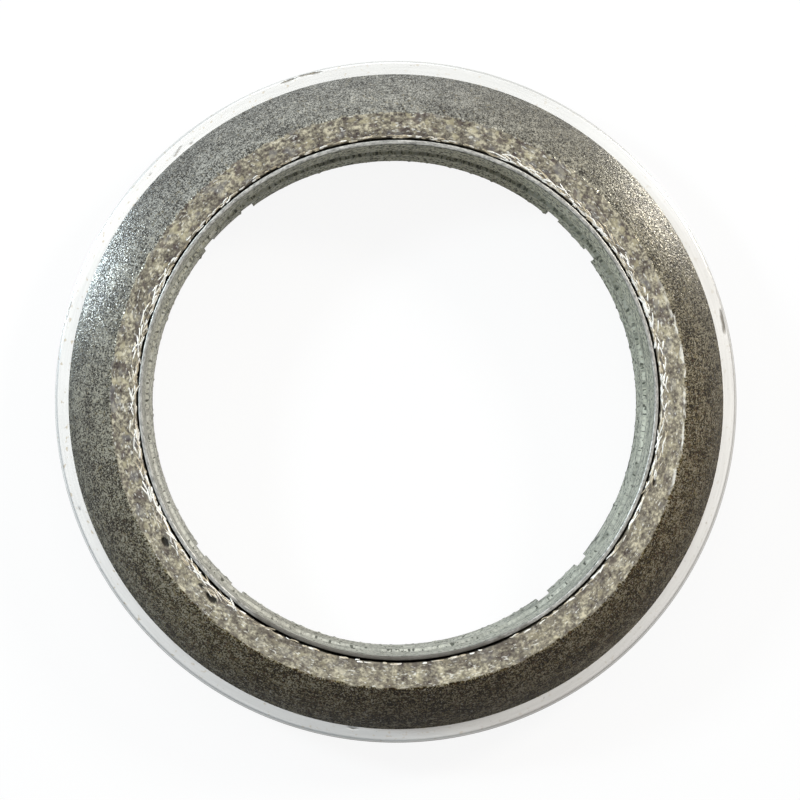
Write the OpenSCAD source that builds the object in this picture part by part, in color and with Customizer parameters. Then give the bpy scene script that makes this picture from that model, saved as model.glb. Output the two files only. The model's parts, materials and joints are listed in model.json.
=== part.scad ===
// Exhaust pipe flange gasket: a domed seal ring of pressed wire mesh on a flat steel flange ring,
// with a thin steel sleeve through both. Millimetres, +Z along the bore towards the seal's nose,
// origin on the bore's axis at the lower edge of the sleeve.

/* [Flange ring] */
// How far the flange ring stands out past the seal's foot
flange_lip = 1.4; // [0.5:0.1:6]
// Thickness of the flange ring
flange_t = 1.2; // [0.8:0.1:3]
// Rounding of the flange ring's outer edges
flange_edge_r = 0.3; // [0.1:0.05:0.35]

/* [Seal ring] */
// Width of the flat nose, from the seal's bore to the taper as if the edges were sharp
nose_w = 2.6; // [1.4:0.1:5]
// Radial width of the taper, from the nose to the foot
taper_w = 4.6; // [2:0.1:8]
// Height of the nose above the flange ring
seal_h = 8.6; // [6:0.2:14]
// Rounding of both edges of the nose
nose_edge_r = 0.35; // [0.1:0.05:0.5]
// Radial gap between the seal ring and the sleeve
seal_gap = 0.25; // [0.05:0.05:0.5]

/* [Sleeve] */
// Bore of the sleeve's mouth, above the shoulder
bore_d = 51.5; // [30:0.5:90]
// Thickness of the sleeve's sheet
sheet_t = 0.4; // [0.3:0.05:0.8]
// How far the sleeve's rim lies below the nose
rim_drop = 0.2; // [0:0.1:1]
// Chamfer of the rim's two edges
rim_break = 0.08; // [0.02:0.02:0.12]
// How far the shoulder steps in
shoulder_in = 0.3; // [0.1:0.05:0.8]
// Height of the shoulder's curve
shoulder_h = 0.9; // [0.5:0.1:2]
// How far below the flange ring the shoulder starts
shoulder_drop = 0.2; // [0.1:0.05:0.4]

/* [Pilot] */
// How far the sleeve reaches below the flange ring
pilot_h = 6.4; // [4.5:0.2:10]
// Radial clearance between the sleeve and the flange ring's hole
flange_fit = 0.05; // [0.02:0.01:0.1]
// Height of the lead-in at the pilot's lower end
lead_h = 3.2; // [1:0.1:3.8]
// How far the lead-in narrows
lead_in = 0.18; // [0:0.02:0.4]

/* [Tabs] */
// Width of each tab
tab_w = 4; // [2:0.2:8]
// Width of the notch on each side of a tab
notch_w = 1.4; // [0.8:0.1:3]
// Height of the notches
notch_h = 2.8; // [1:0.1:4]
// Angle of the first tab's middle
tab_turn = 43.5; // [0:0.5:90]
// How far each tab's tip is sprung out of the lead-in
tab_out = [0.22, 0.16, 0.07, 0]; // [0:0.01:0.4]
// How far a tab's root runs up into the wall
tab_root = 0.3; // [0.2:0.05:0.5]
// How much a tab thins on each face by the top of its root
tab_thin = 0.05; // [0.02:0.01:0.1]

/* [Hidden] */
$fn = 180;

// Heights
flange_z = pilot_h;
foot_z = flange_z + flange_t;
nose_z = foot_z + seal_h;
rim_z = nose_z - rim_drop;
shoulder_z = flange_z - shoulder_drop;

// Radii of the sleeve's inner face
mouth_r = bore_d / 2;
pilot_r = mouth_r - shoulder_in;
end_r = pilot_r - lead_in;

// Radii of what stands around the sleeve
seal_bore_r = mouth_r + sheet_t + seal_gap;
nose_r = seal_bore_r + nose_w;
foot_r = nose_r + taper_w;
flange_r = foot_r + flange_lip;

// The taper is a zone of a sphere centred on the bore's axis, through the foot and the nose
dome_z = nose_z - (foot_r ^ 2 - nose_r ^ 2 + seal_h ^ 2) / (2 * seal_h);
dome_r = norm([foot_r, foot_z - dome_z]);

// Centre of the arc that rounds the nose into the taper, and the direction from the dome's centre to it
nose_arc_z = nose_z - nose_edge_r;
nose_arc_r = sqrt((dome_r - nose_edge_r) ^ 2 - (nose_arc_z - dome_z) ^ 2);
nose_arc_at = [nose_arc_r, nose_arc_z];
dome_at = [0, dome_z];
nose_arc_dir = (nose_arc_at - dome_at) / norm(nose_arc_at - dome_at);

// Steps along the shoulder's curve, and the angles that the tabs and their windows take up
shoulder_steps = 8;
tabs = len(tab_out);
tab_pitch = 360 / tabs;
tab_span = angle_of(tab_w, pilot_r);
window_span = angle_of(tab_w + 2 * notch_w, pilot_r);
// How far a cutting shape runs past what it cuts
spare = 1;

// Angle of an arc of a given length
function angle_of(arc, r) = arc / r * 180 / PI;

// Inner radius of the lead-in at a height
function lead_r(z) = z < lead_h ? end_r + lead_in * z / lead_h : pilot_r;

// The shoulder: an even S-curve from the pilot up to the mouth
function shoulder_at(t) = [
    pilot_r + shoulder_in * (1 - cos(180 * t)) / 2,
    shoulder_z + shoulder_h * t
];

// Points up the shoulder, moved out by a distance
function shoulder_points(out) = [
    for (i = [0 : shoulder_steps]) shoulder_at(i / shoulder_steps) + [out, 0]
];

// Disc section with both outer corners rounded, for revolving
module rounded_section(r_out, z, t, edge_r) {
    translate([0, z])
        square([r_out - edge_r, t]);
    translate([0, z + edge_r])
        square([r_out, t - 2 * edge_r]);
    for (h = [edge_r, t - edge_r])
        translate([r_out - edge_r, z + h])
            circle(r = edge_r);
}

// Section of the flange ring's hole, whose dished wall follows the sleeve's shoulder
module seat_section() {
    out = sheet_t + flange_fit;
    polygon(concat(
        [[0, flange_z - spare], [pilot_r + out, flange_z - spare]],
        shoulder_points(out),
        [[mouth_r + out, foot_z + spare], [0, foot_z + spare]]
    ));
}

module flange_ring() {
    color([0.9, 0.9, 0.88])
        rotate_extrude()
            difference() {
                rounded_section(flange_r, flange_z, flange_t, flange_edge_r);
                seat_section();
            }
}

// Half section of the seal: everything under the dome, between the bore and the foot
module seal_section() {
    intersection() {
        translate([seal_bore_r, foot_z])
            square([foot_r - seal_bore_r, seal_h]);
        translate(dome_at)
            circle(r = dome_r, $fn = 720);
    }
}

// What the rounded outer edge takes off: all that lies between the arc's two tangent points
module outer_corner() {
    polygon([
        nose_arc_at,
        [nose_arc_r, nose_z + spare],
        [nose_r + spare, nose_z + spare],
        dome_at + (dome_r + spare) * nose_arc_dir
    ]);
}

// What the rounded inner edge takes off
module inner_corner() {
    translate([seal_bore_r - spare, nose_arc_z])
        square([nose_edge_r + spare, nose_edge_r + spare]);
}

module seal_ring() {
    color([0.42, 0.40, 0.37])
        rotate_extrude() {
            difference() {
                seal_section();
                outer_corner();
                inner_corner();
            }
            translate(nose_arc_at)
                circle(r = nose_edge_r);
            translate([seal_bore_r + nose_edge_r, nose_arc_z])
                circle(r = nose_edge_r);
        }
}

// Section of the sleeve's wall: up the inner face, over the rim and down the outer face
module sleeve_section() {
    rise = concat([[end_r, 0], [pilot_r, lead_h]], shoulder_points(0));
    inner = concat(rise, [[mouth_r, rim_z - rim_break], [mouth_r + rim_break, rim_z]]);
    outer_r = mouth_r + sheet_t;
    outer = concat(
        [[outer_r - rim_break, rim_z], [outer_r, rim_z - rim_break]],
        [for (i = [len(rise) - 1 : -1 : 0]) rise[i] + [sheet_t, 0]]
    );
    polygon(concat(inner, outer));
}

// The gap in the lower edge that one tab and its two notches stand in
module window() {
    rotate([0, 0, -window_span / 2])
        rotate_extrude(angle = window_span)
            translate([end_r - spare, -spare])
                square([lead_in + sheet_t + 2 * spare, notch_h + spare]);
}

// One tab: the wall between two notches, with its tip sprung outwards and its root in the wall
module tab(out) {
    tip_r = end_r + out;
    root_z = notch_h + tab_root;
    root_r = lead_r(root_z);
    rotate([0, 0, -tab_span / 2])
        rotate_extrude(angle = tab_span)
            polygon([
                [tip_r, 0],
                [tip_r + sheet_t, 0],
                [root_r + sheet_t - tab_thin, root_z],
                [root_r + tab_thin, root_z]
            ]);
}

module inner_sleeve() {
    color([0.70, 0.73, 0.70]) {
        difference() {
            rotate_extrude()
                sleeve_section();
            for (i = [0 : tabs - 1])
                rotate([0, 0, tab_turn + i * tab_pitch])
                    window();
        }
        for (i = [0 : tabs - 1])
            rotate([0, 0, tab_turn + i * tab_pitch])
                tab(tab_out[i]);
    }
}

flange_ring();
seal_ring();
inner_sleeve();
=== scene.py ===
"""Dresses the solids of an exhaust pipe flange gasket.

A pressed wire mesh seal with loops of wire along its bore, a sheet steel sleeve and a bright flange ring,
each turned from its half section, roughened in the mesh and finished with node materials.
"""

import json
import math
import random

import bmesh
import bpy
from bpy.props import FloatProperty, FloatVectorProperty, IntProperty, PointerProperty
from bpy.types import NodeSocket, Operator, Panel, PropertyGroup
from mathutils import Matrix, Vector, noise


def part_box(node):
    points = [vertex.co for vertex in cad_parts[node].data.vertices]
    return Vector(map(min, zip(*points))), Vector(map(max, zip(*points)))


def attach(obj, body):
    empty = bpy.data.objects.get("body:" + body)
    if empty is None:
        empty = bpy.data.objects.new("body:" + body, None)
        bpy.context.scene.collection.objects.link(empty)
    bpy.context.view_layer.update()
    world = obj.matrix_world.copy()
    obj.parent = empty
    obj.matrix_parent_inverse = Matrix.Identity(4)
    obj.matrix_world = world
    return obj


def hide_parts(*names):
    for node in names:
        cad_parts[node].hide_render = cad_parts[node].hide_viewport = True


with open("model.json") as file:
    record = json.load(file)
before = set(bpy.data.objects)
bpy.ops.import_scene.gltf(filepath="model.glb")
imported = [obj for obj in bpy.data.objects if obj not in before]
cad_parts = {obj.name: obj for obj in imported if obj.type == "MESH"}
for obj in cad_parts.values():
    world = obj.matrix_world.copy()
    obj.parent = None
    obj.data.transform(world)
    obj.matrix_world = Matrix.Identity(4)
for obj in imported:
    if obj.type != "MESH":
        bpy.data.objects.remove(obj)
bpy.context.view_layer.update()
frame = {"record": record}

bl_info = {
    "name": "Flange Gasket Looks",
    "version": (1, 0, 0),
    "blender": (4, 5, 0),
    "location": "View3D > Sidebar > Gasket",
    "description": "Builds the surfaces of an exhaust pipe flange gasket around its solids",
    "category": "Object",
}

BODY = "root"
MM = 0.001

# The solids that the pieces follow
FLANGE_LOW, FLANGE_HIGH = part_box("flange_ring")
SEAL_LOW, SEAL_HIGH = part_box("seal_ring")
SLEEVE_LOW, SLEEVE_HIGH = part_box("inner_sleeve")
BORES = {m["name"]: m["dims"]["r_mm"] * MM for m in frame["record"]["mounts"] if "r_mm" in m["dims"]}
MOUTH_R = BORES["pipe_bore"]
SHEET = SLEEVE_HIGH.x - MOUTH_R
PILOT_R = BORES["pilot"] - SHEET

# Where the soft light comes from
SKY_SIDE = Vector((0.0, 0.34, 0.94))

# Radius at which patterns that run round the ring have their true length
PATTERN_R = 30 * MM

# Dark colour of the painted shade on the rim and of the dark specks on the flange ring
DARK_SPECKS_AND_SHADE = (0.10, 0.09, 0.075)

# A ring is spun as one sector and doubled this many times; points this close are one
DOUBLINGS = 5
MERGE = 0.001 * MM


def setting(kind, unit_size=1, **fixed):
    """A maker of settings of one kind, which takes a name, a description and one or more values."""
    def make(name, description, *values):
        default = values if len(values) > 1 else values[0] * unit_size
        return kind(name=name, description=description, default=default, **fixed)
    return make


# Given in millimetres, degrees round the bore's axis, linear light, metres and watts, in this order
distance = setting(FloatProperty, MM, unit="LENGTH", precision=5)
bearing = setting(FloatProperty, math.radians(1), subtype="ANGLE")
colour = setting(FloatVectorProperty, subtype="COLOR", min=0, max=1)
location = setting(FloatVectorProperty, subtype="TRANSLATION", unit="LENGTH")
lamp_power = setting(FloatProperty, unit="POWER")
measure = setting(FloatProperty, min=0)
number = setting(IntProperty, min=1)


class SealSettings(PropertyGroup):
    """Sizes and colours of the pressed mesh seal."""

    gap: distance("Gap", "Radial gap between the seal and the sleeve", 0.195)
    gap_oval: distance("Oval", "How far the gap is wider above and below than at the sides", 0.015)
    gap_shift: distance("Shift", "How far the gap is wider on the lower side", 0.025)
    nose_w: distance("Nose width", "Width of the flat nose", 2.68)
    edge_r: distance("Nose edge", "Rounding of both edges of the nose", 0.35)
    steps: number("Steps", "Steps round the ring", 960)
    lump: distance("Lumps", "Depth of the nose's lumps", 0.06)
    grit: distance("Grit", "Depth of the grit on the nose", 0.04)
    grain: distance("Grain", "Depth of the grain on the taper", 0.012)
    nose_dark: colour("Nose hollows", "Dark brown between the wires", 0.066, 0.051, 0.047)
    nose_mid: colour("Nose middle", "Middle tone of the nose", 0.225, 0.20, 0.153)
    nose_light: colour("Nose crests", "Beige of the pressed wires", 0.61, 0.55, 0.41)
    nose_ochre: colour("Ochre", "Straw coloured patches on the nose", 0.52, 0.46, 0.30)
    nose_blue: colour("Blue grey", "Cool patches on the nose", 0.23, 0.22, 0.22)
    nose_brown: colour("Brown", "Dark brown patches on the nose", 0.11, 0.085, 0.078)
    # Also a painted highlight along the nose's edge on the right
    nose_glint: colour("Glints", "Rubbed points on the nose", 0.88, 0.86, 0.80)
    taper_dark: colour("Taper dark", "Graphite on the taper", 0.028, 0.025, 0.020)
    taper_mid: colour("Taper middle", "Wire and graphite on the taper", 0.192, 0.187, 0.167)
    taper_light: colour("Taper light", "Wire showing through the graphite", 0.53, 0.515, 0.455)
    taper_straw: colour("Taper straw", "Straw coloured specks on the taper", 0.36, 0.29, 0.15)
    # Colours of the brown film on the taper's near side, darker than the far colours as painted shade there
    brown_dark: colour("Brown dark", "Graphite under the brown film", 0.017, 0.010, 0.004)
    brown_mid: colour("Brown middle", "Brown film on one side of the taper", 0.056, 0.041, 0.012)
    brown_rust: colour("Brown rust", "Rust specks in the brown film", 0.105, 0.055, 0.026)
    brown_straw: colour("Brown straw", "Straw tones in the brown film", 0.145, 0.113, 0.042)
    brown_light: colour("Brown light", "Wire showing through the brown film", 0.38, 0.34, 0.26)
    brown_side: bearing("Brown side", "Middle of the brown film", 288)
    # Painted warm light on the taper
    warm: colour("Warm", "Tint of the taper on the right", 0.93, 0.89, 0.76)
    taper_glint: colour("Taper glints", "Rubbed wire on the taper", 0.66, 0.63, 0.55)


class WireSettings(PropertyGroup):
    """The loops of wire along the seal's bore."""

    pitch: distance("Pitch", "Arc from one loop to the next", 0.36)
    wire_w: distance("Width", "Width of a flattened wire", 0.18)
    wire_h: distance("Height", "Height of a flattened wire", 0.11)
    reach: distance("Reach", "How far from the bore the loops lie", 0.72)
    seed: number("Seed", "Seed of the loops' places", 11)
    bright: colour("Bright", "Rubbed wire", 0.95, 0.93, 0.88)
    tarnish: colour("Tarnish", "Straw tarnish on the wire", 0.62, 0.53, 0.38)
    dull: colour("Dull", "Dull wire", 0.26, 0.23, 0.18)


class SleeveSettings(PropertyGroup):
    """Sizes and colours of the sheet steel sleeve."""

    shoulder_z: distance("Shoulder", "Height at which the shoulder starts", 6.2)
    shoulder_h: distance("Shoulder height", "Height of the shoulder's curve", 0.9)
    lead_h: distance("Lead-in height", "Height of the lead-in", 3.2)
    lead_in: distance("Lead-in", "How far the lead-in narrows", 0.18)
    notch_h: distance("Notch height", "Height of the notches", 2.8)
    notch_w: distance("Notch width", "Width of each notch", 1.4)
    tab_w: distance("Tab width", "Width of each tab", 4.0)
    tab_turn: bearing("First tab", "Middle of the first tab", 43.5)
    steps: number("Steps", "Steps round the sleeve", 1440)
    wobble: distance("Wobble", "How far the wall strays from round", 0.03)
    burr: distance("Burr", "How far burrs stand in from the lower edge", 0.16)
    rim_break: distance("Rim break", "Rounding of the rim's two edges", 0.09)
    zinc: colour("Zinc", "Greenish grey of the plated wall", 0.88, 0.885, 0.83)
    # Mixed in towards the far wall as painted shade
    film: colour("Film", "Olive grey film on the far wall", 0.84, 0.82, 0.64)
    # Painted warm light on the right wall
    straw: colour("Straw", "Tint of the wall on the right", 1.0, 0.98, 0.88)
    # Also the colour of the painted shade on the wall
    zinc_dark: colour("Specks", "Dark specks on the wall", 0.07, 0.075, 0.06)
    bare: colour("Bare steel", "Pinkish grey of the cut rim", 0.56, 0.545, 0.51)
    edge: colour("Rim edges", "Rubbed edges of the rim", 0.70, 0.69, 0.65)
    # Where the painted shade lies: a stretch of the rim on the near side and of the shoulder on the far side
    shaded_rim: bearing("Shaded rim", "Middle of the rim's dark stretch", 265)
    shaded_ledge: bearing("Shaded ledge", "Middle of the shoulder's dark stretch", 72)


class FlangeSettings(PropertyGroup):
    """Sizes and colours of the flange ring."""

    edge_r: distance("Edge", "Rounding of the outer edges", 0.3)
    fit: distance("Fit", "Clearance round the sleeve", 0.05)
    steps: number("Steps", "Steps round the ring", 1152)
    steel: colour("Steel", "Bright rolled steel", 0.855, 0.855, 0.845)
    tan: colour("Tan", "Tan specks on the steel", 0.56, 0.46, 0.30)
    stain: colour("Stain", "Brown stain in the marks", 0.17, 0.135, 0.085)


class StageSettings(PropertyGroup):
    """Camera, floor and lamps."""

    camera_at: location("Camera", "Place of the camera", -0.01126, -0.00709, 0.41464)
    camera_aim: location("Aim", "What the camera looks at", 0.00033, 0.00012, 0.008)
    lens: measure("Lens", "Focal length in millimetres", 178.65)
    key: lamp_power("Key lamp", "Power of the softbox behind the gasket", 0.47)
    right: lamp_power("Right lamp", "Power of the warm lamp", 1.1)
    left: lamp_power("Left lamp", "Power of the cool lamp", 1.45)
    sky: measure("Sky", "Strength of the soft light from above", 1.22)
    shade: measure("Shade", "Strength of the soft light from the near side", 0.18)


class GasketSettings(PropertyGroup):
    """All settings of the gasket's looks."""

    seal: PointerProperty(type=SealSettings)
    wire: PointerProperty(type=WireSettings)
    sleeve: PointerProperty(type=SleeveSettings)
    flange: PointerProperty(type=FlangeSettings)
    stage: PointerProperty(type=StageSettings)


# Shapes


def smooth_step(low, high, value):
    """0 below low, 1 above high, with a soft rise between."""
    t = min(max((value - low) / (high - low), 0.0), 1.0)
    return t * t * (3 - 2 * t)


def turned_by(angle, middle):
    """Angle from a middle one, between -pi and pi."""
    return (angle - middle + math.pi) % math.tau - math.pi


def arc(middle, radius, start, end, steps):
    """Section points along an arc, as (radius, height), between two angles."""
    angles = [start + (end - start) * i / steps for i in range(steps + 1)]
    return [(middle[0] + radius * math.cos(a), middle[1] + radius * math.sin(a)) for a in angles]


def line(start, end, steps):
    """Section points along a straight line, without its two ends."""
    shares = [i / steps for i in range(1, steps)]
    return [(start[0] + (end[0] - start[0]) * s, start[1] + (end[1] - start[1]) * s) for s in shares]


def shoulder(size, out, steps=10):
    """Section points up the sleeve's shoulder, moved out by a distance."""
    points = []
    for i in range(steps + 1):
        rise = (1 - math.cos(math.pi * i / steps)) / 2
        radius = PILOT_R + (MOUTH_R - PILOT_R) * rise + out
        points.append((radius, size.shoulder_z + size.shoulder_h * i / steps))
    return points


def spin_round(points, steps, closed):
    """A mesh turned once round the bore's axis from section points.

    One sector is spun and then doubled until the ring closes, because one long spin is slow.
    """
    bm = bmesh.new()
    verts = [bm.verts.new((radius, 0, height)) for radius, height in points]
    edges = [bm.edges.new(pair) for pair in zip(verts, verts[1:])]
    if closed:
        edges.append(bm.edges.new((verts[-1], verts[0])))
    sector = math.tau / 2 ** DOUBLINGS
    bmesh.ops.spin(bm, geom=verts + edges, axis=(0, 0, 1), angle=sector, steps=steps // 2 ** DOUBLINGS)
    for i in range(DOUBLINGS):
        copy = bmesh.ops.duplicate(bm, geom=bm.verts[:] + bm.edges[:] + bm.faces[:])["geom"]
        turned = [part for part in copy if isinstance(part, bmesh.types.BMVert)]
        bmesh.ops.rotate(bm, verts=turned, matrix=Matrix.Rotation(sector * 2 ** i, 3, "Z"))
    bmesh.ops.remove_doubles(bm, verts=bm.verts, dist=MERGE)
    bmesh.ops.recalc_face_normals(bm, faces=bm.faces)
    return bm


def unrolled(place, stretch, grain):
    """Place for a noise that is drawn out round the ring and has no seam, in grains."""
    radius = math.hypot(place.x, place.y)
    round_r = PATTERN_R / stretch / radius
    return Vector((place.x * round_r, place.y * round_r, radius - place.z)) / grain


def make_piece(bm, name, materials, sharp=40):
    """The finished mesh as an object that rides on the gasket."""
    mesh = bpy.data.meshes.new(name)
    bm.to_mesh(mesh)
    bm.free()
    mesh.shade_smooth()
    mesh.set_sharp_from_angle(angle=math.radians(sharp))
    for material in materials:
        mesh.materials.append(material)
    piece = bpy.data.objects.new(name, mesh)
    bpy.context.scene.collection.objects.link(piece)
    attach(piece, BODY)
    return piece


def bore_shift(size, angle):
    """How far the seal's bore strays outwards from its mean radius."""
    return -size.gap_oval * math.cos(2 * angle) - size.gap_shift * math.sin(angle)


# Pits in the nose: angle, radius, half length along the ring, half width and depth,
# in degrees and millimetres
PITS = (
    (211.3, 27.40, 0.62, 0.34, 0.34),
    (226.6, 27.42, 0.72, 0.36, 0.36),
    (223.2, 27.25, 0.35, 0.22, 0.20),
    (187.5, 27.60, 1.10, 0.45, 0.05),
    (293.0, 27.70, 1.30, 0.50, 0.05),
    (326.5, 27.60, 0.55, 0.35, 0.08),
    (342.0, 26.95, 0.70, 0.12, 0.20),
)


def pit_depth(place):
    """Depth of the pits at a place on the nose."""
    radius = math.hypot(place.x, place.y)
    angle = math.atan2(place.y, place.x)
    depth = 0.0
    for turn, pit_r, half_length, half_width, deep in PITS:
        along = turned_by(angle, math.radians(turn)) * radius / (half_length * MM)
        across = (radius - pit_r * MM) / (half_width * MM)
        if abs(along) < 2:
            ragged = 0.5 * noise.noise(place / (0.4 * MM))
            depth += deep * MM * smooth_step(0, 0.7, 1 - along ** 2 - across ** 2 + ragged)
    return depth


def seal_section(size):
    """Half section of the seal: up the bore, over the nose, down the dome and back under the foot."""
    bore_r = SLEEVE_HIGH.x + size.gap
    nose_r = bore_r + size.nose_w
    nose_z = SEAL_HIGH.z
    foot_r = SEAL_HIGH.x
    foot_z = SEAL_LOW.z
    height = nose_z - foot_z
    dome_z = nose_z - (foot_r ** 2 - nose_r ** 2 + height ** 2) / (2 * height)
    dome_r = math.hypot(foot_r, foot_z - dome_z)
    edge_z = nose_z - size.edge_r
    edge_at = math.sqrt((dome_r - size.edge_r) ** 2 - (edge_z - dome_z) ** 2)
    tangent = math.atan2(edge_z - dome_z, edge_at)
    inner = arc((bore_r + size.edge_r, edge_z), size.edge_r, math.pi, math.pi / 2, 6)
    outer = arc((edge_at, edge_z), size.edge_r, math.pi / 2, tangent, 5)
    dome = arc((0, dome_z), dome_r, tangent, math.atan2(foot_z - dome_z, foot_r), 46)
    foot = (bore_r, foot_z)
    return ([foot] + line(foot, inner[0], 6) + inner + line(inner[-1], outer[0], 20)
            + outer + dome[1:] + line(dome[-1], foot, 4))


def seal_relief(size, place, on_nose):
    """How deep the surface lies under the smooth form: lumps and grit on the nose, grain on the taper."""
    lumps = 0.5 + 0.5 * noise.fractal(unrolled(place, 1.7, 1.1 * MM), 1.0, 2.0, 3)
    grit = 0.5 + 0.5 * noise.noise(unrolled(place, 1.3, 0.36 * MM))
    grain = 0.5 + 0.5 * noise.noise(unrolled(place, 1.6, 0.42 * MM))
    rough = size.lump * max(lumps, 0) + size.grit * grit + pit_depth(place)
    return on_nose * rough + (1 - on_nose) * size.grain * grain


def seal_mesh(size):
    """The seal with its roughness in the mesh, and how high each place lies as an attribute."""
    bm = spin_round(seal_section(size), size.steps, closed=True)
    bm.normal_update()
    relief = bm.verts.layers.float.new("relief")
    pit = bm.verts.layers.float.new("pit")
    brown = bm.verts.layers.float.new("brown")
    bore_r = SLEEVE_HIGH.x + size.gap
    nose_r = bore_r + size.nose_w
    foot_z = SEAL_LOW.z
    deepest = size.lump + size.grit
    for vert in bm.verts:
        place = vert.co.copy()
        radius = math.hypot(place.x, place.y)
        turn = math.atan2(place.y, place.x)
        # Share of the near side, where the taper has its brown film with painted shade and the nose is
        # painted lighter
        vert[brown] = smooth_step(-0.55, 0.62, math.cos(turn - size.brown_side))
        if place.z > foot_z + size.edge_r:
            ragged = 0.22 * MM * noise.noise(unrolled(place, 1.5, 0.9 * MM))
            on_nose = 1 - smooth_step(nose_r - 0.1 * MM, nose_r + 0.15 * MM, radius + ragged)
            drop = seal_relief(size, place, on_nose)
            vert[relief] = 1 - min(drop / deepest, 1)
            vert[pit] = on_nose * smooth_step(0.06 * MM, 0.16 * MM, pit_depth(place))
            vert.co -= vert.normal * drop
        outward = Vector((place.x, place.y, 0)) / radius
        near_bore = 1 - smooth_step(bore_r, bore_r + 1.2 * MM, radius)
        vert.co += outward * near_bore * bore_shift(size, turn)
    return bm


# Stretches of the bore where wire loops show: middle angle and half width in degrees, share of loops that
# show, shortest and longest strand in millimetres and steepest lean in degrees
LOOP_STRETCHES = (
    (8, 30, 1.00, 0.6, 1.5, 22),
    (46, 26, 1.00, 0.6, 1.6, 18),
    (95, 42, 0.40, 0.45, 1.0, 6),
    (152, 24, 0.55, 0.5, 1.3, 14),
    (192, 48, 0.95, 0.7, 1.7, 24),
    (262, 38, 0.13, 0.4, 1.1, 8),
    (312, 24, 0.22, 0.5, 1.2, 12),
    (340, 24, 0.45, 0.6, 1.6, 18),
)

# What strands are drawn from, in millimetres, degrees and shares of the wire's size
EDGE_PLACE = (0.08, 0.20)
STRAND_BOW = 0.08
DEEPEST_SINK = 0.04
STRAY_LEAN = 3
WIDTH_SPREAD = (0.6, 1.2)
HEIGHT_SPREAD = (0.8, 1.1)


def loops_at(angle):
    """Share of loops, strand lengths and lean of the stretch that shows most at an angle."""
    best = (0.0, 1.0, 1.0, 0.0)
    for middle, half, amount, short, long, lean in LOOP_STRETCHES:
        off = abs(turned_by(angle, math.radians(middle))) / math.radians(half)
        shown = amount * (1 - smooth_step(0.7, 1.15, off))
        best = max(best, (shown, short, long, lean))
    return best


def lay_strand(strand, seal, start, length, offset, lean, bow, width, height, sink):
    """Shapes the strand's round blank into a flattened wire on the nose, wrapped round the bore."""
    bore_r = SLEEVE_HIGH.x + seal.gap
    for vert, blank in strand:
        along = 0.5 * length * math.copysign(abs(2 * blank.z) ** 0.6, blank.z)
        across = blank.x * width + along * math.tan(lean) + bow * (1 - (2 * along / length) ** 2)
        angle = start + along / bore_r
        inward = max(seal.edge_r - offset - across, 0)
        fall = seal.edge_r - math.sqrt(max(seal.edge_r ** 2 - inward ** 2, 0))
        radius = bore_r + bore_shift(seal, angle) + offset + across
        rise = SEAL_HIGH.z - height / 2 - sink - 0.5 * min(fall, seal.edge_r / 2) + blank.y * height
        vert.co = (radius * math.cos(angle), radius * math.sin(angle), rise)


def wire_mesh(wire, seal):
    """Loops of wire along the bore: a strand on the edge and two that lean together, pitch after pitch."""
    bm = bmesh.new()
    bm.verts.layers.float.new("tone")
    blank = bmesh.new()
    bmesh.ops.create_uvsphere(blank, u_segments=6, v_segments=6, radius=0.5)
    strand_tone = blank.verts.layers.float.new("tone")
    strand = [(vert, vert.co.copy()) for vert in blank.verts]
    one = bpy.data.meshes.new("strand")
    draw = random.Random(wire.seed)
    loops = int(math.tau * (SLEEVE_HIGH.x + seal.gap) / wire.pitch)
    for i in range(loops):
        for leg in (0, 1, -1):
            angle = math.tau * (i + draw.uniform(-0.45, 0.45)) / loops
            shown, short, long, lean = loops_at(angle)
            length = draw.uniform(short, long) * MM
            if leg == 0:
                offset = draw.uniform(*EDGE_PLACE) * MM
            else:
                offset = (0.12 + draw.random() ** 1.5) * wire.reach * shown
            tilt = math.radians(draw.uniform(0.25, 1.0) * lean * leg + draw.uniform(-STRAY_LEAN, STRAY_LEAN))
            bow = draw.uniform(-STRAND_BOW, STRAND_BOW) * MM
            width = wire.wire_w * draw.uniform(*WIDTH_SPREAD)
            height = wire.wire_h * draw.uniform(*HEIGHT_SPREAD)
            sink = draw.random() * DEEPEST_SINK * MM
            bright = draw.random() * (0.6 + 0.4 * shown)
            if draw.random() > shown:
                continue
            lay_strand(strand, seal, angle, length, offset, tilt, bow, width, height, sink)
            for vert, _ in strand:
                vert[strand_tone] = bright
            blank.to_mesh(one)
            bm.from_mesh(one)
    blank.free()
    bpy.data.meshes.remove(one)
    bmesh.ops.recalc_face_normals(bm, faces=bm.faces)
    return bm


# How far each tab is sprung out, in millimetres, from the first tab on
TAB_OUT = (0.22, 0.16, 0.07, 0.0)


def sleeve_section(size):
    """Section of the sleeve's inner face, from the lower edge up to the rim."""
    end_r = PILOT_R - size.lead_in
    lead = (PILOT_R, size.lead_h)
    notch = (end_r + size.lead_in * size.notch_h / size.lead_h, size.notch_h)
    low = (end_r, SLEEVE_LOW.z)
    curve = shoulder(size, 0)
    rim = (MOUTH_R, SLEEVE_HIGH.z)
    over = (MOUTH_R, curve[-1][1] + 0.9 * MM)
    under = (MOUTH_R, SLEEVE_HIGH.z - 1.25 * MM)
    return ([low] + line(low, notch, 7) + [notch, lead] + line(lead, curve[0], 3) + curve
            + [over] + line(over, under, 3) + [under] + line(under, rim, 5) + [rim])


def tab_place(size, angle):
    """Index of the nearest tab and the angle from its middle."""
    pitch = math.tau / len(TAB_OUT)
    index = round((angle - size.tab_turn) / pitch)
    return index % len(TAB_OUT), turned_by(angle, size.tab_turn + index * pitch)


def cut_notches(bm, size):
    """Takes the notches on both sides of each tab out of the lower edge."""
    half_tab = size.tab_w / PILOT_R / 2
    half_window = half_tab + size.notch_w / PILOT_R
    cut = []
    for face in bm.faces:
        middle = face.calc_center_median()
        off = abs(tab_place(size, math.atan2(middle.y, middle.x))[1])
        if middle.z < size.notch_h and half_tab < off < half_window:
            cut.append(face)
    bmesh.ops.delete(bm, geom=cut, context="FACES")
    return half_tab


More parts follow.
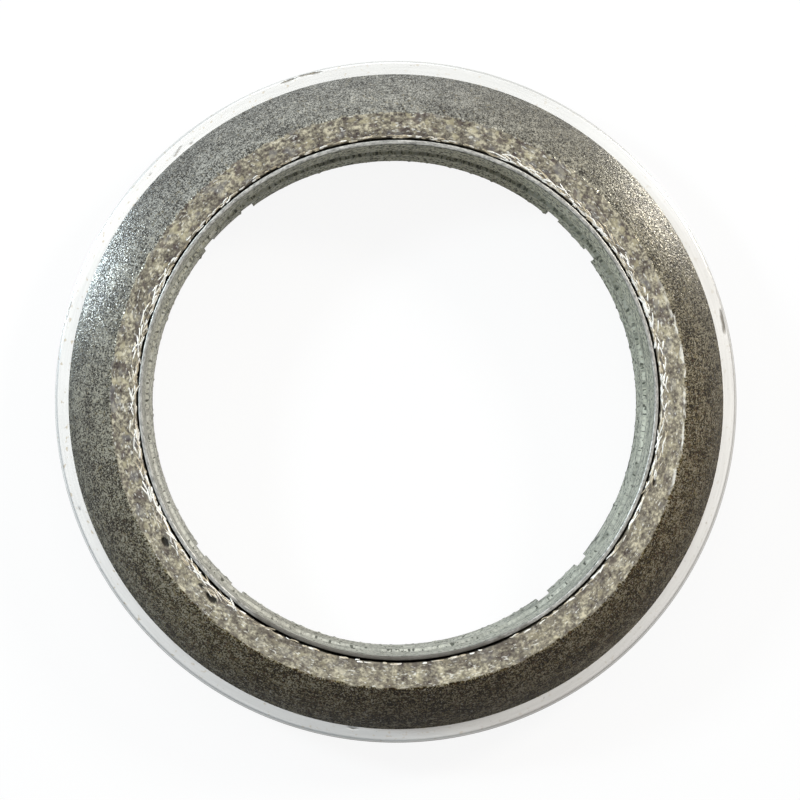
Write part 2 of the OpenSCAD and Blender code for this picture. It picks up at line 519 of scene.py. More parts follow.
def wall_painted_shade(size, angle, height):
    """Share of painted shade on the wall: on the shoulder, thinly under it and in a line under the rim."""
    off_ledge = abs(height - size.shoulder_z - 0.5 * size.shoulder_h) / size.shoulder_h
    ledge = 1 - smooth_step(0.25, 0.75, off_ledge)
    below = 1 - smooth_step(size.shoulder_z - 0.3 * MM, size.shoulder_z + 0.3 * MM, height)
    under_rim = 1 - smooth_step(0.3 * MM, 0.6 * MM, abs(height - SLEEVE_HIGH.z + 0.55 * MM))
    # Strongest on the far side, whose wall faces away from the key lamp
    toward = smooth_step(0.25, 1.0, math.cos(angle - size.shaded_ledge))
    return max(toward * max(0.65 * ledge, 0.10 * below), (0.30 + 0.35 * toward) * under_rim)


def sleeve_mesh(size):
    """The sleeve: its inner face turned, notched and bent, then given the sheet's thickness."""
    bm = spin_round(sleeve_section(size), size.steps, closed=False)
    half_tab = cut_notches(bm, size)
    # Painted shade on the shoulder and under the rim, kept in the mesh
    soot = bm.verts.layers.float.new("soot")
    for vert in bm.verts:
        place = vert.co.copy()
        angle = math.atan2(place.y, place.x)
        outward = Vector((math.cos(angle), math.sin(angle), 0))
        wave = Vector((outward.x, outward.y, place.z / (9 * MM))) * 2.5
        stray = size.wobble * noise.noise(wave)
        index, off = tab_place(size, angle)
        if abs(off) <= half_tab + 1e-4 and place.z < size.notch_h:
            stray += TAB_OUT[index] * MM * (1 - place.z / size.notch_h)
        if place.z < 0.1 * MM:
            ragged = noise.fractal(outward * (PILOT_R / (0.55 * MM)), 0.8, 2.2, 3)
            stray -= size.burr * max(ragged - 0.12, 0)
        vert[soot] = wall_painted_shade(size, angle, place.z)
        vert.co += outward * stray
    bmesh.ops.recalc_face_normals(bm, faces=bm.faces)
    bmesh.ops.solidify(bm, geom=bm.faces[:], thickness=-SHEET)
    for vert in bm.verts:
        vert.co.z = min(max(vert.co.z, SLEEVE_LOW.z), SLEEVE_HIGH.z)
    bmesh.ops.recalc_face_normals(bm, faces=bm.faces)
    break_rim(bm, size)
    return bm


def break_rim(bm, size):
    """Breaks the two edges of the rim, and gives the rim's faces and its broken edges their own materials."""
    top = SLEEVE_HIGH.z - 0.01 * MM
    flat = {face for face in bm.faces if face.normal.z > 0.9 and face.calc_center_median().z > top}
    outline = {edge for face in flat for edge in face.edges if not flat.issuperset(edge.link_faces)}
    bmesh.ops.bevel(bm, geom=list(outline), offset=size.rim_break, offset_type="OFFSET", affect="EDGES",
                    segments=3, profile=0.5, material=-1)
    bm.normal_update()
    soot = bm.verts.layers.float["soot"]
    for face in bm.faces:
        if face.calc_center_median().z > SLEEVE_HIGH.z - size.rim_break:
            face.material_index = 1 if face.normal.z > 0.98 else 2
            # Painted shade on a stretch of the rim on the near side
            for vert in face.verts:
                off = math.degrees(abs(turned_by(math.atan2(vert.co.y, vert.co.x), size.shaded_rim)))
                vert[soot] = 0.85 * (1 - smooth_step(22, 40, off + 14 * noise.noise(vert.co / (1.5 * MM))))


# Marks on the flange ring: angle, radius, half length along the ring, half width, lean and depth,
# in degrees and millimetres
FLANGE_MARKS = (
    (105.0, 34.78, 1.5, 0.10, 3.0, 0.10),
    (108.6, 34.74, 1.0, 0.09, -2.0, 0.09),
    (13.6, 34.55, 1.6, 0.14, 4.0, 0.06),
    (131.2, 34.05, 0.75, 0.07, -16.0, 0.06),
    (128.6, 33.80, 0.30, 0.07, -12.0, 0.05),
    (137.4, 34.30, 0.14, 0.10, 0.0, 0.05),
    (165.0, 34.85, 1.6, 0.07, 2.0, 0.05),
    (198.8, 34.30, 0.20, 0.10, 10.0, 0.05),
    (262.3, 33.80, 0.50, 0.07, 0.0, 0.05),
)


def flange_section(size, sleeve):
    """Half section of the flange ring: round the outer edge, then down the dished hole."""
    out = SHEET + size.fit
    low = FLANGE_LOW.z
    high = FLANGE_HIGH.z
    outer = FLANGE_HIGH.x
    seat = [p for p in shoulder(sleeve, out) if low < p[1] < high][::-1]
    top_in = (seat[0][0], high)
    low_in = (seat[-1][0] - 0.03 * MM, low)
    upper = arc((outer - size.edge_r, high - size.edge_r), size.edge_r, math.pi / 2, 0, 8)
    lower = arc((outer - size.edge_r, low + size.edge_r), size.edge_r, 0, -math.pi / 2, 8)
    band = (SEAL_HIGH.x - 0.3 * MM, high)
    return ([top_in] + line(top_in, band, 4) + [band] + line(band, upper[0], 14) + upper
            + line(upper[-1], lower[0], 4) + lower + line(lower[-1], low_in, 10) + [low_in] + seat[::-1])


def flange_mesh(size, sleeve):
    """The flange ring with its marks pressed into the mesh and painted as an attribute."""
    bm = spin_round(flange_section(size, sleeve), size.steps, closed=True)
    bm.normal_update()
    mark = bm.verts.layers.float.new("mark")
    for vert in bm.verts:
        radius = math.hypot(vert.co.x, vert.co.y)
        angle = math.atan2(vert.co.y, vert.co.x)
        if vert.co.z < FLANGE_LOW.z + size.edge_r:
            continue
        depth = 0.0
        for turn, mark_r, half_length, half_width, lean, deep in FLANGE_MARKS:
            along = turned_by(angle, math.radians(turn)) * radius / MM
            across = radius / MM - mark_r - along * math.tan(math.radians(lean))
            if abs(along) < 2 * half_length:
                ragged = 0.25 * noise.noise(vert.co / (0.5 * MM))
                middle = 1 - (along / half_length) ** 2 - (across / half_width) ** 2
                inside = smooth_step(0, 0.6, middle + ragged)
                depth = max(depth, deep * MM * inside)
                vert[mark] = max(vert[mark], inside)
        vert.co -= vert.normal * depth
    return bm


# Materials


class Nodes:
    """A node tree with short ways to add nodes and feed their sockets."""

    def __init__(self, tree):
        self.tree = tree

    def add(self, kind, sockets=None, **settings):
        """A new node with its settings, and values or links on its sockets."""
        node = self.tree.nodes.new(kind)
        for name, value in settings.items():
            setattr(node, name, value)
        for name, value in (sockets or {}).items():
            self.feed(node.inputs[name], value)
        return node

    def feed(self, socket, value):
        """Links an output to a socket, or sets the socket's own value."""
        if isinstance(value, NodeSocket):
            self.tree.links.new(value, socket)
        elif socket.type == "RGBA":
            socket.default_value = (*value[:3], 1)
        else:
            socket.default_value = value

    def math(self, operation, *values):
        """Output of a Math node."""
        return self.add("ShaderNodeMath", dict(enumerate(values)), operation=operation).outputs[0]

    def mix(self, amount, base, top, blend="MIX"):
        """Colour output of a Mix node."""
        node = self.add("ShaderNodeMix", data_type="RGBA", blend_type=blend)
        for index, value in ((0, amount), (6, base), (7, top)):
            self.feed(node.inputs[index], value)
        return node.outputs[2]

    def ranged(self, value, low, high, to_low=0.0, to_high=1.0):
        """A value mapped from one range to another, and held within it."""
        node = self.add("ShaderNodeMapRange", {"Value": value, "From Min": low, "From Max": high,
                                               "To Min": to_low, "To Max": to_high})
        return node.outputs["Result"]

    def ramp(self, value, *stops):
        """Colour output of a ramp, from (place, colour) stops."""
        node = self.add("ShaderNodeValToRGB", {"Fac": value})
        points = node.color_ramp.elements
        while len(points) < len(stops):
            points.new(1)
        for point, (place, shade) in zip(points, stops):
            point.position = place
            point.color = (*shade[:3], 1)
        return node.outputs["Color"]

    def group(self, tree, **sockets):
        """A node group placed with its own values."""
        node = self.add("ShaderNodeGroup", node_tree=tree)
        for name, value in sockets.items():
            self.feed(node.inputs[name], value)
        return node.outputs

    def times(self, value, other):
        """Two values multiplied."""
        return self.math("MULTIPLY", value, other)

    def cover(self, base, top, mask, amount):
        """A colour laid over another where a mask shows, by an amount."""
        return self.mix(self.times(mask, amount), base, top)

    def tint(self, shade, by):
        """A colour multiplied by a value or another colour."""
        return self.mix(1.0, shade, by, "MULTIPLY")

    def attribute(self, name):
        """A value that the mesh holds."""
        return self.add("ShaderNodeAttribute", attribute_name=name).outputs["Fac"]

    def axis(self, name):
        """One of the object's own coordinates."""
        place = self.add("ShaderNodeTexCoord").outputs["Object"]
        return self.add("ShaderNodeSeparateXYZ", {0: place}).outputs[name]

    def grain(self, size, stretch=1.0, rise=1.0, detail=2.0, warp=0.0):
        """Value of a ring grain whose grains have a size in millimetres."""
        return self.group(ring_grain_group(), Grain=size, Stretch=stretch, Rise=rise, Detail=detail,
                          Warp=warp)["Value"]

    def specks(self, size, rare, soft, stretch=1.0, rise=1.0):
        """Mask of specks of a size in millimetres."""
        return self.group(specks_group(), Grain=size, Stretch=stretch, Rise=rise, Rarity=rare,
                          Softness=soft)["Mask"]


def new_group(name, inputs, outputs):
    """An empty node group with named value sockets, and its input and output nodes."""
    tree = bpy.data.node_groups.new(name, "ShaderNodeTree")
    for socket, value in inputs.items():
        made = tree.interface.new_socket(socket, in_out="INPUT", socket_type="NodeSocketFloat")
        made.default_value = value
    for socket, kind in outputs.items():
        tree.interface.new_socket(socket, in_out="OUTPUT", socket_type=kind)
    nodes = Nodes(tree)
    return nodes, nodes.add("NodeGroupInput").outputs, nodes.add("NodeGroupOutput").inputs


def ring_place_group():
    """Place on the ring in millimetres: unrolled without a seam, with its radius and height."""
    if "Ring place" in bpy.data.node_groups:
        return bpy.data.node_groups["Ring place"]
    nodes, given, out = new_group("Ring place", {"Stretch": 1.0, "Rise": 1.0}, {
        "Unrolled": "NodeSocketVector", "Radius": "NodeSocketFloat", "Height": "NodeSocketFloat"})
    coordinates = nodes.add("ShaderNodeTexCoord").outputs["Object"]
    scaled = nodes.add("ShaderNodeVectorMath", {0: coordinates, "Scale": 1 / MM}, operation="SCALE")
    x, y, z = nodes.add("ShaderNodeSeparateXYZ", {0: scaled.outputs[0]}).outputs
    radius = nodes.math("SQRT", nodes.math("ADD", nodes.times(x, x), nodes.times(y, y)))
    round_r = nodes.math("DIVIDE", nodes.math("DIVIDE", PATTERN_R / MM, given["Stretch"]), radius)
    flat = nodes.add("ShaderNodeCombineXYZ", {
        "X": nodes.times(x, round_r),
        "Y": nodes.times(y, round_r),
        "Z": nodes.math("DIVIDE", nodes.math("SUBTRACT", radius, z), given["Rise"])}).outputs[0]
    nodes.feed(out["Unrolled"], flat)
    nodes.feed(out["Radius"], radius)
    nodes.feed(out["Height"], z)
    return nodes.tree


def ring_grain_group():
    """A noise whose grains are a given length and are drawn out round the ring."""
    if "Ring grain" in bpy.data.node_groups:
        return bpy.data.node_groups["Ring grain"]
    nodes, given, out = new_group(
        "Ring grain", {"Grain": 1.0, "Stretch": 1.0, "Rise": 1.0, "Detail": 2.0, "Warp": 0.0},
        {"Value": "NodeSocketFloat"})
    place = nodes.group(ring_place_group(), Stretch=given["Stretch"], Rise=given["Rise"])["Unrolled"]
    pattern = nodes.add("ShaderNodeTexNoise", {
        "Vector": place, "Scale": nodes.math("DIVIDE", 1.0, given["Grain"]), "Detail": given["Detail"],
        "Roughness": 0.62, "Distortion": given["Warp"]})
    nodes.feed(out["Value"], pattern.outputs[0])
    return nodes.tree


def specks_group():
    """Specks of a given size: the highest places of a ring grain."""
    if "Specks" in bpy.data.node_groups:
        return bpy.data.node_groups["Specks"]
    nodes, given, out = new_group(
        "Specks", {"Grain": 0.3, "Stretch": 1.0, "Rise": 1.0, "Rarity": 0.65, "Softness": 0.05},
        {"Mask": "NodeSocketFloat"})
    grain = nodes.grain(given["Grain"], given["Stretch"], given["Rise"], detail=1.0)
    top = nodes.math("ADD", given["Rarity"], given["Softness"])
    nodes.feed(out["Mask"], nodes.ranged(grain, given["Rarity"], top))
    return nodes.tree


def new_material(name):
    """An empty material with a Principled BSDF on its output."""
    material = bpy.data.materials.new(name)
    material.use_nodes = True
    nodes = Nodes(material.node_tree)
    return material, nodes, material.node_tree.nodes["Principled BSDF"]


def set_sockets(nodes, node, **sockets):
    """Feeds a node's sockets by name, with underscores for spaces."""
    for name, value in sockets.items():
        nodes.feed(node.inputs[name.replace("_", " ")], value)


def darker(shade, amount):
    """A colour with less of its light."""
    return tuple(amount * part for part in shade)


def bump(nodes, height, depth, strength=1.0):
    """Normal output of a Bump node over a height of a given depth."""
    sockets = {"Height": height, "Distance": depth, "Strength": strength}
    return nodes.add("ShaderNodeBump", sockets).outputs["Normal"]


def nose_shade(nodes, size, grit, border, bore_r, edge_r):
    """Colour of the nose: mottled beige and brown, patches, glints, a rubbed edge with a painted highlight,
    dark pits.
    """
    brown = nodes.attribute("brown")
    mottle = nodes.grain(0.85, stretch=1.6, detail=4.0, warp=0.25)
    tone = nodes.math("ADD", nodes.times(mottle, 0.45), nodes.times(grit, 0.55))
    # Painted shade: the low places of the nose are darker
    relief = nodes.math("SUBTRACT", nodes.attribute("relief"), 0.5)
    tone = nodes.math("SUBTRACT", nodes.math("MULTIPLY_ADD", relief, 0.14, tone), 0.5)
    tone = nodes.math("MULTIPLY_ADD", tone, nodes.ranged(brown, 0.4, 1, 1, 0.78), 0.5)
    shade = nodes.ramp(tone, (0.39, size.nose_dark), (0.50, size.nose_mid), (0.61, size.nose_light))
    patches = ((size.nose_ochre, 0.90, 0.5), (size.nose_blue, 1.2, 0.5), (size.nose_brown, 0.70, 0.7))
    for patch_shade, patch, amount in patches:
        mask = nodes.specks(patch, rare=0.58, soft=0.08, stretch=1.5)
        shade = nodes.cover(shade, patch_shade, mask, nodes.ranged(brown, 0.3, 1, amount, 0.5 * amount))
    glitter = nodes.specks(0.18, rare=0.63, soft=0.08, stretch=3.0)
    shade = nodes.cover(shade, size.nose_glint, glitter, 0.6)
    # Rubbed wire along the nose's outer edge on the right, with a painted highlight there
    rubbed_and_highlit = nodes.specks(0.45, rare=0.46, soft=0.10, stretch=3.0)
    on_right = nodes.ranged(nodes.axis("X"), 25.5 * MM, 28 * MM, 0, 0.75)
    at_edge = nodes.ranged(border, edge_r - 0.05, edge_r + 0.2)
    shade = nodes.cover(shade, size.nose_glint, nodes.times(rubbed_and_highlit, on_right), at_edge)
    # Painted shade near the bore, under the wire loops
    at_bore = nodes.ranged(border, bore_r + 0.75, bore_r + 1.3, 1, 0)
    shade = nodes.cover(shade, size.nose_dark, at_bore, 0.45)
    shade = nodes.cover(shade, size.taper_dark, nodes.attribute("pit"), 0.95)
    # Painted light: the nose is lighter on the near side
    return nodes.tint(shade, nodes.ranged(brown, 0, 1, 0.98, 1.17))


def taper_shade(nodes, size, fine, wires, height):
    """Colour of the taper: wire and graphite, grey on the far side and under a brown film with painted shade
    on the near one.
    """
    brown = nodes.attribute("brown")
    up = nodes.axis("Y")
    tone = nodes.times(nodes.grain(1.6, stretch=1.8, rise=2.0, detail=3.0), 0.16)
    tone = nodes.math("MULTIPLY_ADD", nodes.grain(0.30, stretch=4.5, rise=1.7), 0.10, tone)
    tone = nodes.math("MULTIPLY_ADD", nodes.grain(0.46, stretch=1.1, rise=2.3, detail=3.0), 0.20, tone)
    tone = nodes.math("SUBTRACT", nodes.math("MULTIPLY_ADD", fine, 0.54, tone), 0.5)
    calm = nodes.ranged(up, 23 * MM, 31 * MM, 1, 0.62)
    contrast = nodes.times(nodes.ranged(brown, 0, 1, 1.7, 3.8), calm)
    tone = nodes.math("MULTIPLY_ADD", tone, contrast, 0.5)
    far = nodes.ramp(tone, (0.38, size.taper_dark), (0.50, size.taper_mid), (0.63, size.taper_light))
    # Painted warm light: the grey taper is tinted warm on the right and towards the near side
    on_right = nodes.ranged(nodes.axis("X"), 5 * MM, 26 * MM)
    warm = nodes.math("MAXIMUM", on_right, nodes.ranged(up, 20 * MM, 0, 0, 0.7))
    far = nodes.mix(warm, far, size.warm, "MULTIPLY")
    # The brown film: the taper's own warm brown, painted darker than the far side as painted shade on the
    # near side
    near = nodes.ramp(tone, (0.36, size.brown_dark), (0.49, size.brown_mid), (0.58, size.brown_straw),
                      (0.74, size.brown_light))
    rust = nodes.specks(0.28, rare=0.58, soft=0.08, stretch=1.1, rise=2.2)
    shade = nodes.mix(brown, far, nodes.cover(near, size.brown_rust, rust, 0.6))
    straw = nodes.specks(0.32, rare=0.61, soft=0.08, rise=2.2)
    shade = nodes.cover(shade, size.taper_straw, straw, nodes.ranged(brown, 0, 1, 0.25, 0.5))
    shade = nodes.cover(shade, size.taper_glint, wires, nodes.ranged(brown, 0, 1, 0.5, 0.55))
    # Painted shade: darker towards the foot
    return nodes.tint(shade, nodes.ranged(height, 8, 13, 0.68, 1))


def pressed_mesh_material(size):
    """Wire mesh pressed with graphite: a dark, grainy taper and a rough, mottled nose."""
    material, nodes, shader = new_material("Pressed mesh")
    place = nodes.group(ring_place_group())
    bore_r = (SLEEVE_HIGH.x + size.gap) / MM
    edge_r = bore_r + size.nose_w / MM
    border = nodes.math("MULTIPLY_ADD", nodes.grain(0.9, stretch=1.5, detail=3.0), 0.8, place["Radius"])
    on_taper = nodes.ranged(border, edge_r + 0.26, edge_r + 0.36)

    grit = nodes.grain(0.26, stretch=1.4, detail=4.0)
    fine = nodes.grain(0.16, rise=2.3)
    facet = nodes.grain(0.17, stretch=1.4, rise=1.5, detail=0.5)
    wires = nodes.specks(0.20, rare=0.64, soft=0.06, stretch=1.2, rise=2.2)
    nose = nose_shade(nodes, size, grit, border, bore_r, edge_r)
    taper = taper_shade(nodes, size, fine, wires, place["Height"])

    clean = nodes.ranged(nodes.attribute("brown"), 0.2, 0.8, 1, 0)
    bare = nodes.times(nodes.ranged(fine, 0.50, 0.62, 0, 0.42), clean)
    shine = nodes.math("MAXIMUM", nodes.times(wires, 0.5), bare)
    polish = nodes.ranged(fine, 0.40, 0.60, 0.50, 0.20)
    set_sockets(
        nodes, shader, Base_Color=nodes.mix(on_taper, nose, taper),
        Roughness=nodes.ranged(on_taper, 0, 1, 0.75, polish), Metallic=nodes.times(shine, on_taper),
        Normal=bump(nodes, nodes.mix(on_taper, grit, facet), 0.055 * MM, 0.9), Specular_IOR_Level=0.15)
    return material


def bright_wire_material(size):
    """Rubbed steel wire, some strands bright and some straw coloured or dull."""
    material, nodes, shader = new_material("Bright wire")
    patch = nodes.grain(0.5, stretch=1.5, detail=3.0)
    tone = nodes.math("MULTIPLY_ADD", nodes.math("SUBTRACT", patch, 0.5), 1.1, nodes.attribute("tone"))
    shade = nodes.ramp(tone, (0.05, size.dull), (0.34, size.tarnish), (0.64, size.bright))
    roughness = nodes.ranged(patch, 0.3, 0.7, 0.32, 0.5)
    set_sockets(nodes, shader, Base_Color=shade, Metallic=0.35, Roughness=roughness)
    return material


def zinc_material(size):
    """Zinc plated sheet: greenish grey, with dark specks and streaks down and round the wall."""
    material, nodes, shader = new_material("Zinc sheet")
    height = nodes.group(ring_place_group())["Height"]
    side = nodes.axis("X")
    up = nodes.axis("Y")
    fine = nodes.grain(0.38, stretch=1.1, rise=1.8)
    streak = nodes.grain(0.6, stretch=8.0, rise=1.6, detail=3.0)
    tone = nodes.math("ADD", nodes.times(fine, 0.6), nodes.times(streak, 0.4))
    shade = nodes.ramp(tone, (0.40, darker(size.zinc, 0.6)), (0.57, size.zinc))
    drawn = nodes.grain(0.5, stretch=24.0, rise=1.8)
    shade = nodes.tint(shade, nodes.ranged(drawn, 0.42, 0.58, 0.72, 1.0))
    spotted = nodes.ramp(fine, (0.38, size.zinc_dark), (0.48, size.film), (0.60, size.zinc))
    # Darker and spotted towards the far wall: painted shade there, with dark specks
    shade = nodes.mix(nodes.ranged(up, -8 * MM, 25 * MM, 0, 0.9), shade, spotted)
    # Painted warm light on the right wall
    on_right = nodes.ranged(side, -26 * MM, 26 * MM)
    shade = nodes.mix(on_right, shade, size.straw, "MULTIPLY")
    # Painted light on the left wall and painted shade on the near wall
    shade = nodes.tint(shade, nodes.ranged(side, -25 * MM, -6 * MM, 1.13, 1.0))
    shade = nodes.tint(shade, nodes.ranged(up, -26 * MM, -14 * MM, 0.9, 1.0))
    dots = nodes.specks(0.36, rare=0.60, soft=0.05, stretch=1.2, rise=1.7)
    smears = nodes.specks(0.9, rare=0.64, soft=0.06, stretch=5.0, rise=2.0)
    ragged = nodes.math("MULTIPLY_ADD", nodes.grain(0.7, stretch=1.5), -1.6, height)
    low_edge = nodes.ranged(ragged, -0.85, -0.45, 1, 0)
    # The mask from the mesh lays painted shade on the shoulder and under the rim; the dots, smears and ragged
    # lower edge are the wall's own dark specks
    for mask, amount in ((dots, 0.85), (smears, 0.5), (nodes.attribute("soot"), 1.0), (low_edge, 0.8)):
        shade = nodes.cover(shade, size.zinc_dark, mask, amount)
    set_sockets(
        nodes, shader, Base_Color=shade, Metallic=0.0, Roughness=nodes.math("MULTIPLY_ADD", dots, 0.3, 0.55),
        Normal=bump(nodes, fine, 0.03 * MM, 0.4), Specular_IOR_Level=0.08)
    return material


def rim_material(name, shade, shine, roughness):
    """Bare sheet steel along the rim, darkened by painted shade where the mesh says so."""
    material, nodes, shader = new_material(name)
    streak = nodes.grain(0.16, stretch=3.5, detail=3.0)
    bare = nodes.ramp(streak, (0.36, darker(shade, 0.4)), (0.62, shade))
    # Painted shade from the mesh
    shaded_rim = nodes.mix(nodes.attribute("soot"), bare, DARK_SPECKS_AND_SHADE)
    set_sockets(nodes, shader, Base_Color=shaded_rim, Metallic=shine, Roughness=roughness,
                Normal=bump(nodes, streak, 0.02 * MM, 0.4))
    return material


def flange_material(size):
    """Bright rolled steel with fine lines round the ring, tan specks and dark marks."""
    material, nodes, shader = new_material("Flange steel")
    lines = nodes.grain(0.16, stretch=26.0, detail=3.0)
    shade = nodes.ramp(lines, (0.36, darker(size.steel, 0.94)), (0.6, size.steel))
    side = nodes.axis("X")
    # Painted light: lighter towards the sides
    sides = nodes.times(side, side)
    shade = nodes.tint(shade, nodes.ranged(sides, 0, (34 * MM) ** 2, 0.93, 1.16))
    tan = nodes.specks(0.36, rare=0.66, soft=0.06, stretch=1.4)
    shade = nodes.cover(shade, size.tan, tan, nodes.ranged(side, 20 * MM, -20 * MM, 0.2, 0.6))
    dark = nodes.specks(0.22, rare=0.74, soft=0.05, stretch=1.4)
    shade = nodes.cover(shade, DARK_SPECKS_AND_SHADE, dark, 0.35)
    shade = nodes.cover(shade, size.stain, nodes.attribute("mark"), 0.7)
    roughness = nodes.ranged(lines, 0.3, 0.7, 0.22, 0.16)
    set_sockets(nodes, shader, Base_Color=shade, Metallic=0.5, Roughness=roughness,
                Normal=bump(nodes, lines, 0.005 * MM, 0.2))
    return material


# Stage


# Lamps: setting of the power, colour, angle round and height angle in degrees, distance and width in metres
LAMPS = (
    ("key", (0.95, 1.0, 1.0), 98, 42, 0.6, 0.32),
    ("right", (1.0, 0.95, 0.86), 37, 44, 0.5, 0.09),
    ("left", (0.76, 0.90, 1.0), 155, 44, 0.5, 0.08),
)

# Half the floor's width, in metres
FLOOR_HALF = 20.0


def background_share(nodes, plain, mirrored):
    """How much of the plain white background a ray sees: straight from the camera, or in gloss and glass."""
    path = nodes.add("ShaderNodeLightPath").outputs
    gloss = nodes.math("MAXIMUM", path["Is Glossy Ray"], path["Is Transmission Ray"])
    seen = nodes.times(path["Is Camera Ray"], plain)
    return nodes.math("MAXIMUM", seen, nodes.times(gloss, mirrored))


def floor_material():
    """Pale floor that shows white to the camera, keeps the shadow and throws little light back."""
    material, nodes, shader = new_material("Pale floor")
    nodes.tree.nodes.remove(shader)
    paper = nodes.math("ADD", background_share(nodes, 0.85, 0.15), 0.10)
    cloth = nodes.add("ShaderNodeBsdfDiffuse", {"Color": paper}).outputs[0]
    polish = nodes.add("ShaderNodeBsdfGlossy", {"Color": (1, 1, 1, 1), "Roughness": 0.15}).outputs[0]
    polished = nodes.math("MAXIMUM", background_share(nodes, 0, 0.6), 0.06)
    cloth = nodes.add("ShaderNodeMixShader", {0: polished, 1: cloth, 2: polish}).outputs[0]
    white = nodes.add("ShaderNodeEmission", {"Color": (1, 1, 1, 1), "Strength": 1.0}).outputs[0]
    depth = nodes.math("MULTIPLY_ADD", nodes.axis("X"), -0.35, nodes.axis("Y"))
    seen = background_share(nodes, 0.9, nodes.ranged(depth, -30 * MM, 20 * MM, 0.05, 0.55))
    mixed = nodes.add("ShaderNodeMixShader", {0: seen, 1: cloth, 2: white}).outputs[0]
    nodes.feed(nodes.tree.nodes["Material Output"].inputs["Surface"], mixed)
    return material


def light_world(size):
    """Soft light from above and behind, falling off towards the near side; white under the floor."""
    world = bpy.data.worlds.new("Studio")
    world.use_nodes = True
    nodes = Nodes(world.node_tree)
    toward = nodes.add("ShaderNodeTexCoord").outputs["Generated"]
    height = nodes.add("ShaderNodeSeparateXYZ", {0: toward}).outputs["Z"]
    facing = nodes.add("ShaderNodeVectorMath", {0: toward, 1: SKY_SIDE}, operation="DOT_PRODUCT")
    soft = nodes.ranged(facing.outputs["Value"], 0.885, 0.935, size.shade, size.sky)
    mirrored = nodes.times(background_share(nodes, 0, 1), nodes.ranged(height, 0.3, 0.6, 0.8, 0.0))
    under_floor = nodes.ranged(height, -0.03, -0.01, 1.0, 0.0)
    strength = nodes.math("MAXIMUM", nodes.math("MAXIMUM", soft, mirrored), under_floor)
    set_sockets(nodes, world.node_tree.nodes["Background"], Color=(1.0, 0.98, 0.95), Strength=strength)
    bpy.context.scene.world = world


def add_lamp(name, power, shade, turn, rise, away, width):
    """A square softbox aimed at the gasket, from an angle round it, a height angle and a distance."""
    light = bpy.data.lights.new(name, "AREA")
    light.energy = power
    light.color = shade
    light.size = width
    lamp = bpy.data.objects.new(name, light)
    turn = math.radians(turn)
    rise = math.radians(rise)
    toward = Vector((math.cos(turn) * math.cos(rise), math.sin(turn) * math.cos(rise), math.sin(rise)))
    lamp.location = toward * away
    lamp.rotation_euler = toward.to_track_quat("Z", "Y").to_euler()
    bpy.context.scene.collection.objects.link(lamp)


def add_camera(size):
    """A camera over the gasket, with +Y up in the picture."""
    data = bpy.data.cameras.new("Camera")
    data.lens = size.lens
    data.clip_end = 10
    camera = bpy.data.objects.new("Camera", data)
    back = (Vector(size.camera_at) - Vector(size.camera_aim)).normalized()
    right = Vector((0, 1, 0)).cross(back).normalized()
    turn = Matrix((right, back.cross(right), back)).transposed().to_4x4()
    camera.matrix_world = Matrix.Translation(Vector(size.camera_at)) @ turn
    bpy.context.scene.collection.objects.link(camera)
    bpy.context.scene.camera = camera


# Operators


class GASKET_OT_seal(Operator):
    """Build the pressed mesh seal"""

    bl_idname = "gasket.seal"
    bl_label = "Seal Ring"

    def execute(self, context):
        size = context.scene.gasket.seal
        materials = [pressed_mesh_material(size)]
        piece = make_piece(seal_mesh(size), "pressed_seal", materials, sharp=60)
        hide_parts("seal_ring")
        return {"FINISHED"}


class GASKET_OT_wires(Operator):
    """Lay the loops of wire along the seal's bore"""

    bl_idname = "gasket.wires"
    bl_label = "Wire Loops"

    def execute(self, context):
        settings = context.scene.gasket
        mesh = wire_mesh(settings.wire, settings.seal)
        make_piece(mesh, "wire_loops", [bright_wire_material(settings.wire)], sharp=80)
        return {"FINISHED"}


class GASKET_OT_sleeve(Operator):
    """Build the sheet steel sleeve"""

    bl_idname = "gasket.sleeve"
    bl_label = "Sleeve"

    def execute(self, context):
        size = context.scene.gasket.sleeve
        materials = [zinc_material(size), rim_material("Cut rim", size.bare, 0.45, 0.5),
                     rim_material("Rim edges", size.edge, 0.5, 0.40)]
        piece = make_piece(sleeve_mesh(size), "sheet_sleeve", materials)
        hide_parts("inner_sleeve")
        return {"FINISHED"}


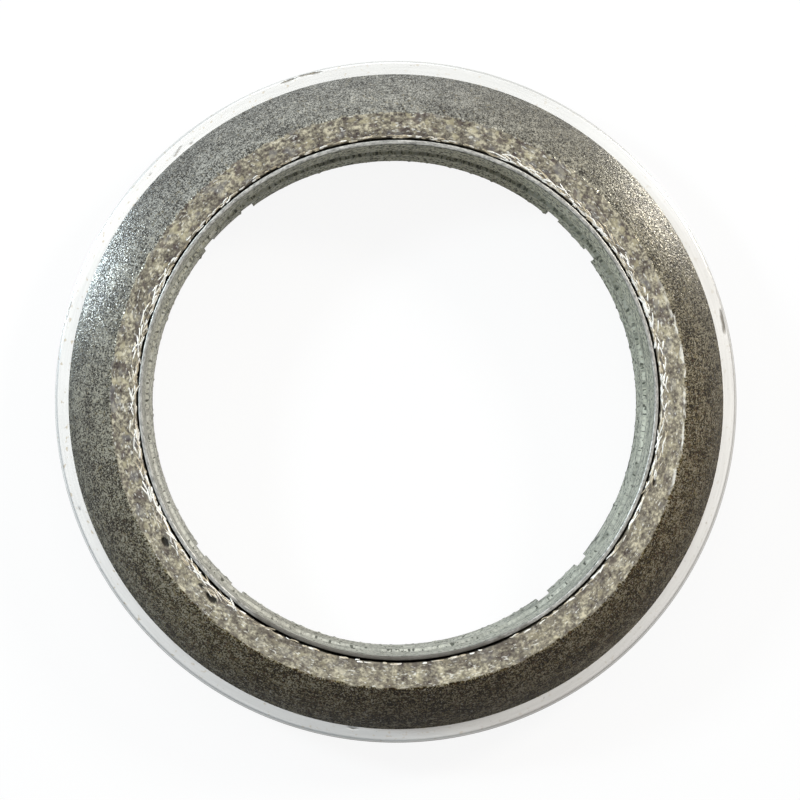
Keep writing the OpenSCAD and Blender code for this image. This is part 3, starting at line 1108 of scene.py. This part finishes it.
class GASKET_OT_flange(Operator):
    """Build the flange ring"""

    bl_idname = "gasket.flange"
    bl_label = "Flange Ring"

    def execute(self, context):
        settings = context.scene.gasket
        mesh = flange_mesh(settings.flange, settings.sleeve)
        piece = make_piece(mesh, "bright_flange", [flange_material(settings.flange)])
        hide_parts("flange_ring")
        return {"FINISHED"}


class GASKET_OT_stage(Operator):
    """Set up the floor, the lamps and the camera"""

    bl_idname = "gasket.stage"
    bl_label = "Stage"

    def execute(self, context):
        size = context.scene.gasket.stage
        bm = bmesh.new()
        bmesh.ops.create_grid(bm, x_segments=1, y_segments=1, size=FLOOR_HALF)
        mesh = bpy.data.meshes.new("floor")
        bm.to_mesh(mesh)
        bm.free()
        mesh.materials.append(floor_material())
        floor = bpy.data.objects.new("floor", mesh)
        floor.location.z = SLEEVE_LOW.z
        context.scene.collection.objects.link(floor)
        light_world(size)
        for name, *placing in LAMPS:
            add_lamp(name.capitalize(), getattr(size, name), *placing)
        add_camera(size)
        context.scene.view_settings.view_transform = "Standard"
        return {"FINISHED"}


class GASKET_PT_panel(Panel):
    """Lists the steps that dress the gasket"""

    bl_idname = "GASKET_PT_panel"
    bl_label = "Flange Gasket"
    bl_space_type = "VIEW_3D"
    bl_region_type = "UI"
    bl_category = "Gasket"

    def draw(self, context):
        for step in STEPS:
            self.layout.operator(step.bl_idname)


STEPS = (GASKET_OT_flange, GASKET_OT_seal, GASKET_OT_wires, GASKET_OT_sleeve, GASKET_OT_stage)
SETTINGS = (SealSettings, WireSettings, SleeveSettings, FlangeSettings, StageSettings, GasketSettings)
CLASSES = SETTINGS + STEPS + (GASKET_PT_panel,)


def register():
    for cls in CLASSES:
        bpy.utils.register_class(cls)
    bpy.types.Scene.gasket = PointerProperty(type=GasketSettings)


def unregister():
    del bpy.types.Scene.gasket
    for cls in reversed(CLASSES):
        bpy.utils.unregister_class(cls)


def main():
    """Registers the add-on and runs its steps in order."""
    register()
    bpy.ops.gasket.flange()
    bpy.ops.gasket.seal()
    bpy.ops.gasket.wires()
    bpy.ops.gasket.sleeve()
    bpy.ops.gasket.stage()


if __name__ == "__main__":
    main()
